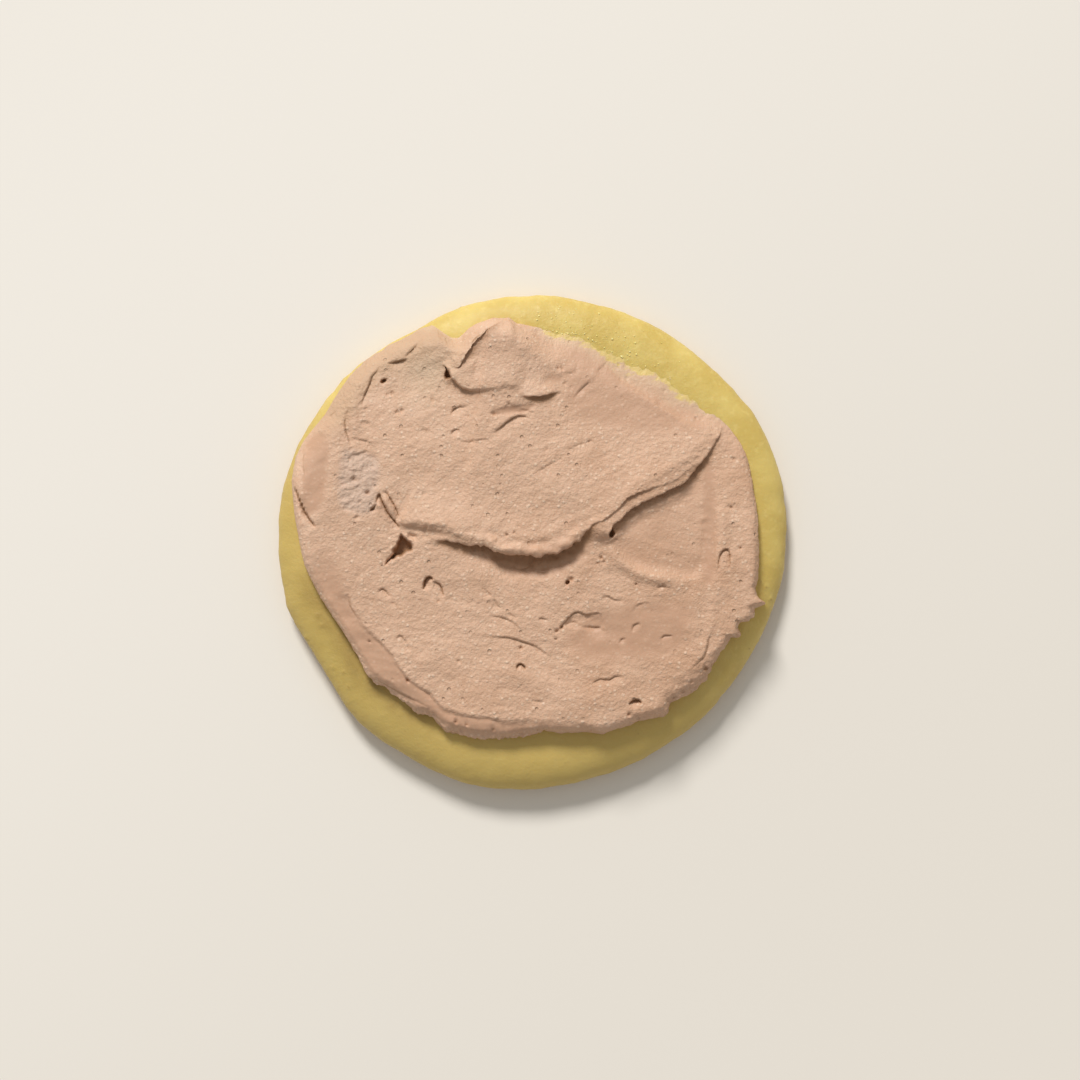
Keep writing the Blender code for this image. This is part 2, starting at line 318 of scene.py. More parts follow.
# Soft ridges and hollows left by the knife: height, width, and the points of the path.
swells = (
    (-1, 2, (-15, -1), (-10, -1.8), (-6, -3.2), (-2, -4), (2, -4), (6, -2.8), (9.4, -0.4)),
    (0.8, 0.7, (-26.8, 8.8), (-25.6, 7.3), (-24.7, 5.6), (-24.1, 4.2)),
    (0.5, 0.5, (-27.6, 7.8), (-26.6, 5.9), (-25.4, 4.1), (-24.3, 2.8)),
    (-0.7, 0.5, (-22.2, 1.2), (-21.2, 1.1), (-20.2, 0.6)),
    (0.65, 0.9, (12.6, 0.6), (13.6, -0.8), (15, -2.6), (18, -5.2), (22, -6.4), (28, -7.4)),
    (0.95, 1.7, (10, 3.8), (11.6, 2.6), (12.8, 1.4), (13.2, -0.4)),
    (-0.45, 1.1, (31.2, 11), (31.6, 4), (31.2, -3), (30.4, -7)),
    (0.3, 0.9, (33.6, 8), (33.8, 1), (33.2, -6)),
    (-0.3, 2, (-39, 22), (-38.6, 14), (-38.4, 6)),
    (-0.3, 0.8, (-5.6, 23.4), (-3, 23.2), (-1.4, 23)),
    (-0.3, 0.7, (-27.4, -24.2), (-24, -26), (-21, -27.6), (-18.6, -29)),
    (-0.25, 1.6, (9, -15), (12, -15.6), (17, -15.4)),
    (0.25, 1.2, (24, -12), (28, -16), (30, -21)),
    (0.25, 0.8, (32.4, -5), (32.2, -11), (31, -18), (29.2, -21.4)),
    (0.3, 1.2, (-31, 27), (-31.6, 22), (-31, 18)),
    (0.2, 2, (-12, -22), (0, -24.5), (10, -27), (18, -25)),
)

# Thin sharp cuts: depth, fade, and the points of the path. The surface drops at the line and
# comes back up beyond it, on the line's right.
cuts = (
    (0.7, 0.8, (-25.6, 31.8), (-24, 32.1), (-22.2, 32.5)),
    (0.5, 0.7, (-22.6, 33), (-21.4, 34.1), (-20.2, 35.5)),
    (0.5, 0.8, (-30.3, 24.4), (-29.8, 26), (-28.9, 28), (-28.4, 29.5), (-27.6, 30.4), (-27, 31.4)),
    (1, 0.6, (-27.7, 6.8), (-27.5, 8.2), (-27, 8.6), (-26.4, 7.2), (-25.4, 5.2), (-24.3, 3.9),
     (-23.4, 2.7)),
    (0.7, 0.5, (-26.4, 9.2), (-25.6, 8.8), (-24.9, 7.6), (-24, 6), (-23.6, 4.8), (-24, 4.1)),
    (0.6, 0.6, (-28.9, 5.6), (-28.2, 6.2), (-27.7, 6.9)),
    (0.6, 0.9, (32.9, -5), (32.9, -3.2), (33.4, -1.8), (34.3, -1.1), (35, -1.7), (35.1, -3.2),
     (35, -4.8)),
    (0.9, 0.5, (-2.9, -22.4), (-2.6, -21.6), (-2, -21.4), (-1.4, -21.8), (-1.1, -22.5)),
    (0.45, 0.6, (-27.4, -8.8), (-26.6, -8.1), (-25.8, -8.6), (-25, -9.6)),
    (1.1, 0.9, (17, -28.6), (17.8, -27.9), (18.8, -27.8), (19.5, -28.4)),
    (0.35, 0.9, (-28, -23.8), (-25.6, -25.2), (-22.8, -26.8), (-20, -28.2), (-17.6, -29.3)),
    (0.3, 0.6, (-36, 22.3), (-35.3, 23), (-34.6, 23.4)),
    (0.45, 1.1, (-32.1, 17), (-33, 19.4), (-33.3, 22), (-32.6, 24)),
    (0.55, 1.3, (-6.9, 19.5), (-5.6, 20.5), (-4.4, 21.5), (-2.8, 22.4), (-1.4, 22.5), (-0.9, 22),
     (-1.4, 21.6)),
    (0.2, 0.8, (-7.2, 22.6), (-5.6, 22.9)),
    (0.25, 0.9, (-2.2, 23.7), (-0.6, 23.4), (0.4, 23)),
    (0.45, 0.9, (-14.6, 22.5), (-14.1, 23.5), (-13, 24.1), (-11.7, 24)),
    (0.4, 0.8, (-14.6, 19.1), (-14, 19.9), (-13.2, 20.1), (-12.6, 19.8)),
    (0.25, 1.4, (-12.8, 18), (-11.4, 17.9), (-9.8, 18.2), (-7.6, 18.5)),
    (0.25, 0.7, (-20, 20.1), (-17.8, 19.9)),
    (0.22, 0.6, (-30.2, 21.6), (-28.6, 21.1)),
    (0.3, 0.8, (-31.6, 18.5), (-30, 18.2), (-28.2, 17.6)),
    (0.3, 0.6, (7.2, 25.6), (8.4, 27), (9.8, 28.3), (11.2, 29)),
    (0.3, 0.6, (11.2, 30), (12.6, 31.6), (14.2, 33.3)),
    (0.18, 0.6, (5.6, 30), (7.2, 30.2), (7.8, 31.2)),
    (0.22, 0.7, (-0.6, 11.7), (2, 13.3), (5.2, 15)),
    (0.22, 0.7, (6.2, 16.4), (8.4, 17.5), (11, 18.2)),
    (1.2, 0.7, (-42, 10.2), (-41.2, 8), (-40.2, 5.6), (-39.2, 4), (-38.3, 2.8)),
    (0.35, 1, (-40.4, 17), (-40.3, 13), (-40.5, 10)),
    (0.25, 0.7, (-8.6, -8), (-7.2, -9.4)),
    (0.35, 0.6, (-6.6, -10), (-5.9, -11.2), (-5.4, -11.6)),
    (0.32, 0.9, (-7.4, -12.9), (-5, -13.3), (-3.2, -14.2), (-2.2, -15.1)),
    (0.2, 0.8, (-4.6, -12.4), (-2.6, -13.2)),
    (0.42, 1, (-7.4, -16.6), (-4, -16.8), (-1, -17.7), (1, -18.5), (2.6, -19.8)),
    (0.45, 1.1, (4.2, -15.8), (5.4, -14.4), (6.6, -13), (8, -12.2), (9.6, -12.7), (11.6, -12.4),
     (12.5, -13.2)),
    (0.25, 0.8, (6, -14.4), (7, -13.9), (8.2, -14.2)),
    (0.35, 0.8, (9, -14.8), (11.8, -15), (13, -15.6)),
    (0.35, 0.8, (12, -10.1), (12.6, -9.6), (13.6, -9.5), (14.4, -10), (16, -10.2)),
    (0.35, 0.6, (22, -8), (22.9, -7.5), (23.8, -7.8)),
    (0.35, 0.7, (17.5, -15.8), (17.9, -14.6), (18.8, -14.3), (19.3, -14.6)),
    (0.3, 0.6, (15.3, -17.8), (15.8, -17), (16.6, -17)),
    (0.35, 0.7, (22.6, -17), (23.5, -16.4), (24.8, -16.4)),
    (0.2, 1, (17.6, -12.2), (18.8, -10.9), (20.6, -10.6)),
    (0.42, 0.8, (10.6, -24.8), (12, -24.1), (13.6, -24.2), (14.6, -23.6), (16, -23.7)),
    (0.4, 0.9, (28.2, -22.2), (29.4, -21), (30.4, -20), (31, -18), (31.6, -15.6)),
    (1.3, 0.9, (-19.4, -8.4), (-19.2, -7), (-18.7, -6.2), (-17.9, -6.1), (-17.5, -6.6)),
    (0.7, 0.7, (-17.6, -6.8), (-16.6, -7.1), (-16, -7.8), (-15.6, -9.6)),
    (0.3, 0.7, (-24.2, -17.6), (-23.6, -16.4), (-22.6, -17), (-21.6, -19.2)),
    (0.3, 0.8, (-32.6, -9), (-32, -11.4), (-30.9, -13.2)),
    (0.35, 0.6, (1, -13.6), (1.6, -13.3), (2.8, -13.7)),
    (0.2, 0.6, (-0.6, -27.8), (1, -28), (2.2, -28.1)),
    (0.22, 0.8, (-3.4, -3.9), (-2.6, -4.6), (-1.4, -4.6), (-0.4, -4.1), (0.4, -4)),
    (0.18, 0.6, (0.9, -5), (1.8, -5.3), (3, -5)),
    (0.17, 0.6, (-34.2, 12.8), (-33.2, 13.2), (-32, 12.8), (-30.8, 13)),
    (0.2, 0.6, (-33.6, 9.8), (-32.6, 9.4), (-31.4, 9.8), (-30.2, 10.6)),
    (0.17, 0.7, (-33, 16), (-31.4, 15.6), (-29.6, 16.2), (-27.8, 15.8)),
    (0.15, 0.6, (-30.4, 14.2), (-29, 13.6), (-27.8, 13.8)),
)

# The band inside the lower left edge: a sharp crease along its inner side, with the coat
# standing a little higher inside, and a raised crest along the outer edge.
band = {
    "crease": (
        (-36, -1), (-34.4, -5), (-32.6, -10), (-30.6, -14), (-28.2, -16.6), (-26, -18.6), (-24.2, -21),
        (-22.2, -24), (-20, -25.6), (-18, -27), (-15.8, -29.4), (-12.5, -30.6), (-8, -31.1),
        (-4, -31.8), (0, -31.6), (4, -31.8), (8.6, -32.1), (10.6, -33.2),
    ),
    "step": 0.42,
    "slope": 3.0,
    "crest": 0.3,
    "crestIn": 1.25,
    "from": 186.0, "to": 268.0, "soften": 9.0,  # degrees
}

# Small round holes: x, y, radius, depth
pits = (
    (-26.5, 28.5, 0.5, 0.9), (-26.1, 28.7, 0.4, 0.8), (-25.6, 26.2, 0.4, 0.25), (-24.8, 26.4, 0.45, 0.3),
    (-23.9, 23.1, 0.4, 0.35), (-23.1, 23.3, 0.5, 0.35), (-29.5, 23.7, 0.35, 0.3), (-30.4, 27.4, 0.3, 0.25),
    (-17.6, 25.2, 0.5, 0.35), (-16.3, 26.8, 0.3, 0.2), (-11.3, 22.4, 0.3, 0.25), (4.6, 30.8, 0.35, 0.35),
    (5.3, 30.8, 0.35, 0.35), (-4.1, 24.5, 0.35, 0.3), (-6.8, 22.7, 0.35, 0.25), (15.2, 31.4, 0.35, 0.3),
    (16.8, 29, 0.45, 0.35), (23.4, 26.8, 0.4, 0.3), (22.2, 24.4, 0.3, 0.25), (5.8, 28.1, 0.4, 0.25),
    (2.6, 16.5, 0.3, 0.3), (-19.3, 8.5, 0.35, 0.3), (-5.7, 10.3, 0.3, 0.3), (-4.5, 1.4, 0.35, 0.35),
    (-3.2, 1.7, 0.35, 0.35), (-2.5, 2.9, 0.3, 0.25), (35.7, 14.7, 0.4, 0.35), (35.2, 6.2, 0.4, 0.35),
    (6.25, -7, 0.5, 1.1), (6.9, -6.5, 0.55, 0.5), (12.2, -2.7, 0.4, 0.45), (12.7, -3.4, 0.35, 0.4),
    (11.6, -3.7, 0.35, 0.4),
    (18.4, -7.4, 0.35, 0.45), (36.8, -1, 0.35, 0.35),
    (-24.6, -10.8, 0.35, 0.25), (-28.8, -17.5, 0.3, 0.35), (-22, -24.4, 0.45, 0.45),
    (-16.6, -10.4, 0.4, 0.3), (-2.0, -18.7, 0.5, 0.5),
    (-13.1, -21, 0.35, 0.25), (17.1, -30.5, 0.45, 0.5), (30.7, -22.3, 0.6, 0.8),
    (-13.5, -31.7, 0.45, 0.5), (-11.6, -32.2, 0.4, 0.5),
    (-6.9, -33.1, 0.45, 0.5),
    (-31.5, 11.2, 0.5, 0.35), (-32.3, 14.8, 0.4, 0.3), (-29.2, 8.8, 0.5, 0.45), (-30.5, 7.2, 0.4, 0.3),
    (-28.3, 6, 0.5, 0.4), (-31, 4.5, 0.5, 0.35), (28.2, -24.6, 0.5, 0.4), (26.6, -26.3, 0.5, 0.4),
    (25, -27.4, 0.4, 0.4), (4.3, -15.7, 0.4, 0.4),
    (5.2, -15, 0.35, 0.4), (4.2, -17.1, 0.3, 0.4), (32.7, -20.9, 0.4, 0.5), (24, 28.6, 0.4, 0.3),
)

# Larger sunken or smoothed places: depth, how soft the rim is, how smooth the floor is, and the
# points of the outline, anticlockwise.
patches = (
    (2.3, 0.9, 0, (-26.3, -4.1), (-24, -2.9), (-22.9, -2.5), (-21.6, -1.8), (-20.8, -0.8),
     (-22.1, 0.9), (-23.3, 1.5), (-24, 0.4), (-24.7, -1)),
    (1.6, 0.7, 0, (13.4, 0.9), (14.3, 0.6), (14.7, 1.6), (14.4, 2.7), (13.6, 2.4)),
    (0.7, 2.2, 0.4, (13.6, -0.4), (17, -4.6), (23, -6.2), (30, -6.6), (32, 0), (31, 9), (29.6, 12.4),
     (25, 8.8), (19, 6), (15.2, 3.2)),
    (1.8, 0.6, 0, (-15.6, 28.8), (-14.4, 28.9), (-14, 29.9), (-14.7, 31), (-15.6, 31)),
    (0.1, 0.9, 0.8, (30, 13), (29.8, -6), (32.4, -6.4), (32.8, 4), (32.4, 13)),
    (0.2, 1.5, 0.85, (-41.2, 5), (-37, 5.4), (-35.6, 12), (-35.4, 18), (-37.6, 20), (-41, 17)),
    (0.15, 4, 0.85, (7, -21.8), (16, -22.6), (26, -21), (30, -14), (28, -9.4), (20, -8.6), (10, -11),
     (5, -16)),
    (0, 2, 0.7, (-14, -1.4), (-8, -4), (-4, -6.6), (2, -7), (8, -4.4), (11, -1), (8, 2), (0, 0)),
    (0, 3, 0.6, (4, 29), (9, 20), (28, 18), (32, 22), (25, 31), (14, 36), (7, 38)),
    (0.3, 0.5, 0.3, (5.6, -14.8), (8, -15.4), (12.4, -15.4), (12.4, -13.2), (8, -12.8), (6.4, -13.4)),
    (0.2, 0.5, 0.9, (-7.4, 22.4), (-2, 22.7), (0.4, 23.7), (0, 24.7), (-4, 24.4), (-7, 23.5)),
    (0.1, 0.8, 0.6, (2, 28), (5.4, 28), (5.6, 29.8), (2.2, 29.8)),
)

# The rough, crumbly patch at the left.
crumbly = {
    "shape": ((-34.6, 6), (-28.2, 4.6), (-26.8, 9), (-26.6, 15), (-31, 17), (-34.4, 16)), "soft": 1.6
}


def polarTable(points):
    # angles and radii of the outline's points, in order of angle, with one turn added each side
    points = np.array(points)
    angles = np.degrees(np.arctan2(points[:, 1], points[:, 0])) % 360
    order = np.argsort(angles)
    angles, reach = angles[order], np.hypot(points[:, 0], points[:, 1])[order]
    return np.concatenate([angles - 360, angles, angles + 360]), np.tile(reach, 3)


edgeAngles, edgeReach = polarTable(icing["edge"])


def icingRadius(angle, blur=0.35):
    # the reach of the icing's outline, evened out over blur degrees to each side
    degrees = np.degrees(angle) % 360
    steps = (-1.5, -1, -0.5, 0, 0.5, 1, 1.5)
    weights = [math.exp(-s * s) for s in steps]
    reach = sum(w * np.interp(degrees + s * blur, edgeAngles, edgeReach) for w, s in zip(weights, steps))
    rough = 0.22 * lumps(44 * np.cos(angle), 44 * np.sin(angle), 1.7, 12)
    return np.minimum(reach / sum(weights), doughRadius(angle) - 0.3 + rough)


def wallAt(angle, column):
    table = np.array(icing["wall"])
    degrees = np.degrees(angle) % 360
    return np.interp(degrees, np.append(table[:, 0], 360), np.append(table[:, column], table[0, column]))


def patchShare(shape, soft, x, y):
    # 0 outside the outline, 1 well inside it
    close, px, py, found = nearPath(shape, x, y, 1, closed=True)
    share = np.zeros(x.shape)
    share[close] = ease(0, soft, found[0] + 0.25 * min(soft, 1) * lumps(px, py, 0.9, 11))
    return share


def foldMark(fold, x, y):
    # height, sideways shift, strength and painted shadow of a fold at each point
    table = curveThrough(fold["path"])
    line = table[:, :2]
    lengths = np.linalg.norm(np.diff(line, axis=0), axis=1)
    gone = np.append(0, np.cumsum(lengths)) / lengths.sum()
    far, fade, width, ragged = fold.get("far", 0), fold["fade"], fold["width"], fold["ragged"]
    height, shiftX, shiftY, strength, paintedShadow = (np.zeros(x.shape) for _ in range(5))
    close = near(line, x, y, 60 if far else max(2.5 * fade, 3))
    px, py = x[close], y[close]
    distance, share, leftX, leftY = alongCurve(line, px, py)
    rise = np.maximum(np.interp(share, gone, table[:, 2]), 0)
    ragged = ragged * np.clip(0.8 * rise, 0.3, 1)
    distance = distance + ragged * lumps(px, py, 1.7, 21) + 0.5 * ragged * lumps(px, py, 0.7, 22)
    over = np.interp(share, gone, table[:, 3]) * (1 + 0.5 * lumps(px, py, 2.2, 23))
    settled = 1 - np.exp(-((np.maximum(distance, 0) / fade) ** 2))
    ends = ease(0, 0.12, share) * (1 - ease(0.93, 1, share))
    edge = ease(-1.25 * width, 1.25 * width, distance)
    bead = fold["bead"] * np.clip(rise - 0.7, 0, 1) * (1 + 1.1 * lumps(px, py, 1.9, 24))
    height[close] = edge * (rise * (1 - settled) + far * ends * settled)
    height[close] += bead * np.exp(-(((distance - 0.85) / 0.65) ** 2))
    height[close] -= 0.6 * bead * np.exp(-(((distance - 2.4) / 0.5) ** 2))
    shift = -1.65 * over * distance / width * np.exp(-0.5 * (distance / width) ** 2)
    shiftX[close], shiftY[close] = shift * leftX, shift * leftY
    strength[close] = np.clip(rise, 0, 1) * np.exp(-((distance / (1.6 * width)) ** 2))
    # the painted shadow lies in front of the edge, reaching further for higher folds
    reach = 0.5 + 0.9 * rise
    front = (1 - ease(-0.25, 0.35, distance)) * np.exp(-(np.abs(distance / reach) ** fold.get("crisp", 2)))
    paintedShadow[close] = fold["paintedShadow"] * np.clip(rise, 0, 1) * front
    height[close] += 0.3 * np.clip(rise - 0.5, 0, 1.5) * front * lumps(px, py, 1.2, 25)
    return height, shiftX, shiftY, strength, paintedShadow


def coatHeight(x, y, smooth):
    # thickness of the coat with its marks, and the shade painted where it lies below its surroundings
    coat = icing["coat"] + 0.22 * lumps(x, y, 13, 31) + 0.13 * lumps(x, y, 5.5, 32)
    coat -= sum(depth * bell(x, y, middle, width) for middle, width, depth in icing["thinner"])
    coat += icing["heaped"] * ease(-14, -30, y)
    coat -= icing["spread"] * ease(8, 34, 0.93 * y + 0.37 * x) * ease(-5, 7, x)
    upper = ease(-3, 3, y - 0.25 * x)
    streaks = blend(
        lumps(x, y, 1.5, 33, 5, -13) + 0.6 * lumps(x, y, 0.8, 34, 5, -10),
        lumps(x, y, 1.5, 35, 5, 28) + 0.6 * lumps(x, y, 0.8, 36, 5, 32), upper,
    )
    # painted shade, darkest in cuts, pits, deep patches and crumbly dips
    paintedShade = np.zeros(x.shape)
    for height, width, *path in swells:
        close, px, py, (distance, share, _, _) = nearPath(path, x, y, 2.5 * width)
        distance = distance + 0.2 * lumps(px, py, 1.3, 37)
        coat[close] += height * np.exp(-((distance / width) ** 2)) * taper(share, 1)
    for depth, fade, *path in cuts:
        close, px, py, (distance, share, _, _) = nearPath(path, x, y, 3 * fade)
        distance = distance + 0.06 * lumps(px, py, 0.6, 38)
        drop = 1.05 * depth * taper(share) * (1 - ease(-0.14, 0.14, distance))
        drop = drop * np.exp(-np.maximum(-distance - 0.15, 0) / fade)
        coat[close] -= drop
        paintedShade[close] += 2.2 * drop * np.exp(-(((distance + 0.06) / 0.22) ** 2))
    for px, py, radius, depth in pits:
        close = np.hypot(x - px, y - py) < 2 * radius
        away = np.hypot(x[close] - px, y[close] - py) * (1 + 0.3 * lumps(x[close], y[close], 0.7, 39))
        drop = depth * (1 - ease(0.3 * radius, 1.15 * radius, away))
        coat[close] -= drop
        paintedShade[close] += 1.2 * drop
    for depth, soft, _, *shape in patches:
        share = patchShare(shape, soft, x, y)
        coat -= depth * share
        if depth > 0.9:
            paintedShade += 0.7 * depth * share
    rough = patchShare(crumbly["shape"], crumbly["soft"], x, y)
    coat += rough * (0.22 * lumps(x, y, 1.9, 41, 1.8, 15) + 0.13 * lumps(x, y, 0.8, 42) - 0.2)
    paintedShade += rough * np.clip(-0.6 - 1.5 * lumps(x, y, 1.1, 42, 1.8, 15), 0, 0.3)
    coat += (0.06 * streaks + 0.07 * lumps(x, y, 2.3, 43)) * (1 - 0.5 * smooth)
    return coat, paintedShade


def bandHeight(x, y, inset, angle):
    # the slope, crease and crest along the lower left edge
    degrees = np.degrees(angle) % 360
    along = ease(band["from"] - band["soften"], band["from"] + band["soften"], degrees)
    along = along * (1 - ease(band["to"] - band["soften"], band["to"] + 3 * band["soften"], degrees))
    line = curveThrough(band["crease"])
    distance, share, _, _ = alongCurve(line, x, y)
    distance = distance + 0.15 * lumps(x, y, 1.1, 51)
    sharp = ease(0.12, 0.3, share)  # a soft slope at first, then a crease
    softness = blend(1.6, 0.22, sharp)
    outside = 1 - ease(-softness, softness, distance)  # the crease has the coat on its left
    slope = band["step"] * outside * (0.75 + 0.6 * np.clip(-distance / band["slope"], 0, 1))
    crest = band["crest"] * np.exp(-(((inset - band["crestIn"]) / 0.55) ** 2))
    crease = 0.3 * sharp * np.exp(-(((distance + 0.15) / 0.3) ** 2)) * (0.6 + 0.6 * lumps(x, y, 3, 52))
    return along * (crest - slope - crease), along * outside * ease(0.2, 1.2, inset), along * np.maximum(
        crease, 0
    )


def micropits(x, y, smooth, count=150, seed=12):
    # scattered little dents over the crust, fewer where it is smooth
    rng = np.random.default_rng(seed)
    drop = np.zeros(x.shape)
    for _ in range(count):
        px, py = rng.uniform(-41, 41), rng.uniform(-35, 39)
        radius, depth, turn = rng.uniform(0.2, 0.5), rng.uniform(0.06, 0.18), rng.uniform(-0.3, 1.2)
        close = (np.abs(x - px) < 2 * radius) & (np.abs(y - py) < 2 * radius)
        if not close.any():
            continue
        along, across = x[close] - px, y[close] - py
        u, v = along * np.cos(turn) + across * np.sin(turn), across * np.cos(turn) - along * np.sin(turn)
        away = np.hypot(0.6 * u, 1.5 * v)
        drop[close] += depth * (1 - ease(0.2 * radius, radius, away)) * (1 - smooth[close])
    return drop


def finish(name, bm, attributes=None):
    # scales a mesh to metres and makes an object of it, with one number a point for each attribute
    bmesh.ops.scale(bm, verts=bm.verts, vec=(mm, mm, mm))
    bmesh.ops.recalc_face_normals(bm, faces=bm.faces)
    mesh = bpy.data.meshes.new(name)
    bm.to_mesh(mesh)
    bm.free()
    mesh.shade_smooth()
    for key, values in (attributes or {}).items():
        mesh.attributes.new(key, "FLOAT", "POINT").data.foreach_set("value", np.asarray(values, np.float32))
    piece = bpy.data.objects.new(name, mesh)
    bpy.context.scene.collection.objects.link(piece)
    return piece


def places(bm):
    return np.array([v.co[:] for v in bm.verts])


def putBack(bm, points):
    for v, point in zip(bm.verts, points):
        v.co = point


def pushOut(bm, amount):
    # moves each point along its normal
    bm.normal_update()
    for v, distance in zip(bm.verts, amount):
        v.co += v.normal * float(distance)


def makeDisc(cells):
    # a square grid of side 2, rounded off to a disc of radius 1
    bm = bmesh.new()
    bmesh.ops.create_grid(bm, x_segments=cells, y_segments=cells, size=1)
    points = places(bm)
    x, y = points[:, 0].copy(), points[:, 1].copy()
    points[:, 0] = x * np.sqrt(1 - y * y / 2)
    points[:, 1] = y * np.sqrt(1 - x * x / 2)
    putBack(bm, points)
    return bm


def refine(bm, wanted):
    # halves the cells whose corners are all wanted
    bm.verts.index_update()
    edges = {e for f in bm.faces if all(wanted[v.index] for v in f.verts) for e in f.edges}
    bmesh.ops.subdivide_edges(bm, edges=list(edges), cuts=1, use_grid_fill=True)


def flatPlaces(disc):
    # where the points of the unit disc lie on the cookie, before the wall is turned up
    angle = np.arctan2(disc[:, 1], disc[:, 0])
    share = np.hypot(disc[:, 0], disc[:, 1])
    even = icingRadius(angle, 9)
    reach = even + (icingRadius(angle) - even) * share**6
    wall = wallAt(angle, 1)
    zone = np.maximum(wall, 2.8)
    start = 1 - zone / reach
    up = np.clip((share - start) / (1 - start), 0, 1)  # 0 on the coat, 1 at the foot of the wall
    widest = icing["widest"]
    turn = np.pi / 2 * np.clip(up / widest, 0, 1)
    under = np.pi / 2 * np.clip((up - widest) / (1 - widest), 0, 1)
    inset = wall * (1 - np.sin(turn)) + wallAt(angle, 2) * (1 - np.cos(under))
    inner = share / np.maximum(start, 1e-6) * (reach - wall)
    radius = np.where(up > 0, reach - inset, inner)
    x, y = radius * np.cos(angle), radius * np.sin(angle)
    return x, y, angle, reach, up, turn, under


def fineZone(x, y, up, folded, pitted, cutWidth):
    # where the coat has its sharper forms: within folded of a fold's width, and so on
    wanted = up > 0.1
    wanted &= ~((wallAt(np.arctan2(y, x), 1) > 4) & (up < 0.8))
    for fold in folds:
        close, _, _, found = nearPath(fold["path"], x, y, 3)
        wanted[close] |= np.abs(found[0]) < folded * (fold["width"] + 0.6)
    for _, _, *path in cuts:
        close, _, _, found = nearPath(path, x, y, 1)
        wanted[close] |= np.abs(found[0]) < cutWidth
    for depth, _, _, *shape in patches:
        if depth > 0.9:
            wanted |= near(curveThrough(shape, closed=True), x, y, 0.6)
    for px, py, radius, depth in pits:
        wanted |= (depth > pitted) & (np.hypot(x - px, y - py) < 1.6 * radius)
    return wanted


